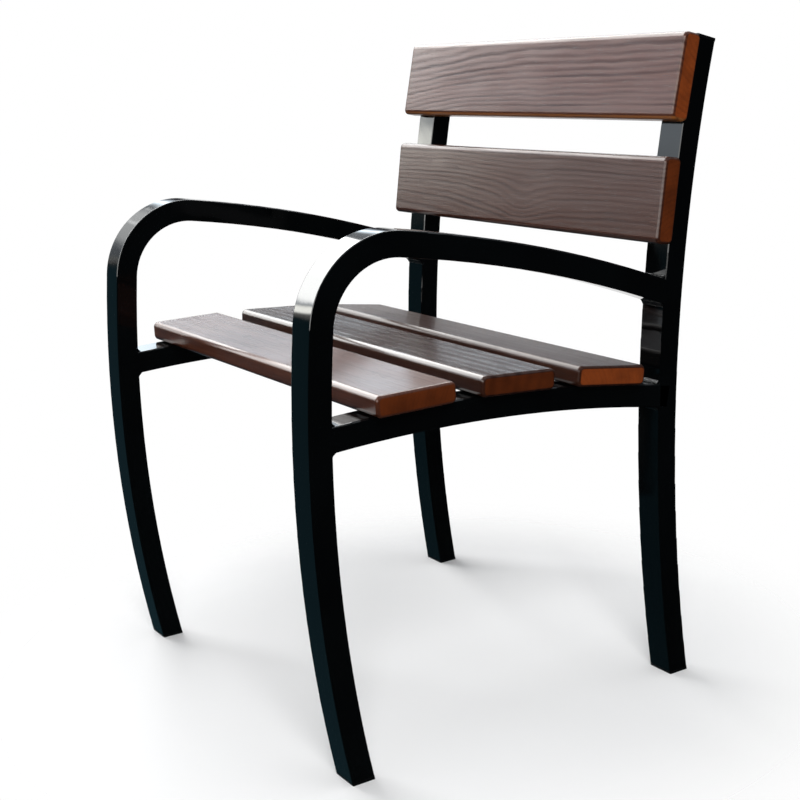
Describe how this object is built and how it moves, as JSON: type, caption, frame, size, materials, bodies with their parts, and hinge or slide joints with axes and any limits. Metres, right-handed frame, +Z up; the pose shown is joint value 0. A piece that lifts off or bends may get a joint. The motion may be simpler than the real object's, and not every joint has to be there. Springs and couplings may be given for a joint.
{
  "type": "outdoor armchair",
  "caption": "Upright outdoor armchair: bowed rectangular steel tube side frames with looped armrests carry lacquered wooden slats that form the seat and the leaning back.",
  "frame": {"origin": "on the floor, below the middle of the chair's width and depth", "axes": "+Z up, the chair faces -Y, +X towards the sitter's left armrest"},
  "size_m": [0.624, 0.6028, 0.8377],
  "materials": {
    "frame_paint": "gloss black enamel",
    "slat_wood": "dark walnut stain under gloss lacquer",
    "plug_plastic": "fine satin black",
    "screw_steel": "zinc plated"
  },
  "bodies": {
    "root": {"left_front_leg_and_armrest": "frame_paint", "right_front_leg_and_armrest": "frame_paint", "left_rear_post": "frame_paint", "right_rear_post": "frame_paint", "left_seat_rail": "frame_paint", "right_seat_rail": "frame_paint", "left_weld_beads": "frame_paint", "right_weld_beads": "frame_paint", "left_front_foot_plug": "plug_plastic", "right_front_foot_plug": "plug_plastic", "left_rear_foot_plug": "plug_plastic", "right_rear_foot_plug": "plug_plastic", "left_post_cap": "plug_plastic", "right_post_cap": "plug_plastic", "seat_slat_front": "slat_wood", "seat_slat_middle": "slat_wood", "seat_slat_rear": "slat_wood", "back_slat_lower": "slat_wood", "back_slat_upper": "slat_wood", "left_seat_screws": "screw_steel", "right_seat_screws": "screw_steel", "left_seat_washers": "screw_steel", "right_seat_washers": "screw_steel", "left_back_screws": "screw_steel", "right_back_screws": "screw_steel", "left_back_washers": "screw_steel", "right_back_washers": "screw_steel"}
  },
  "joints": []
}
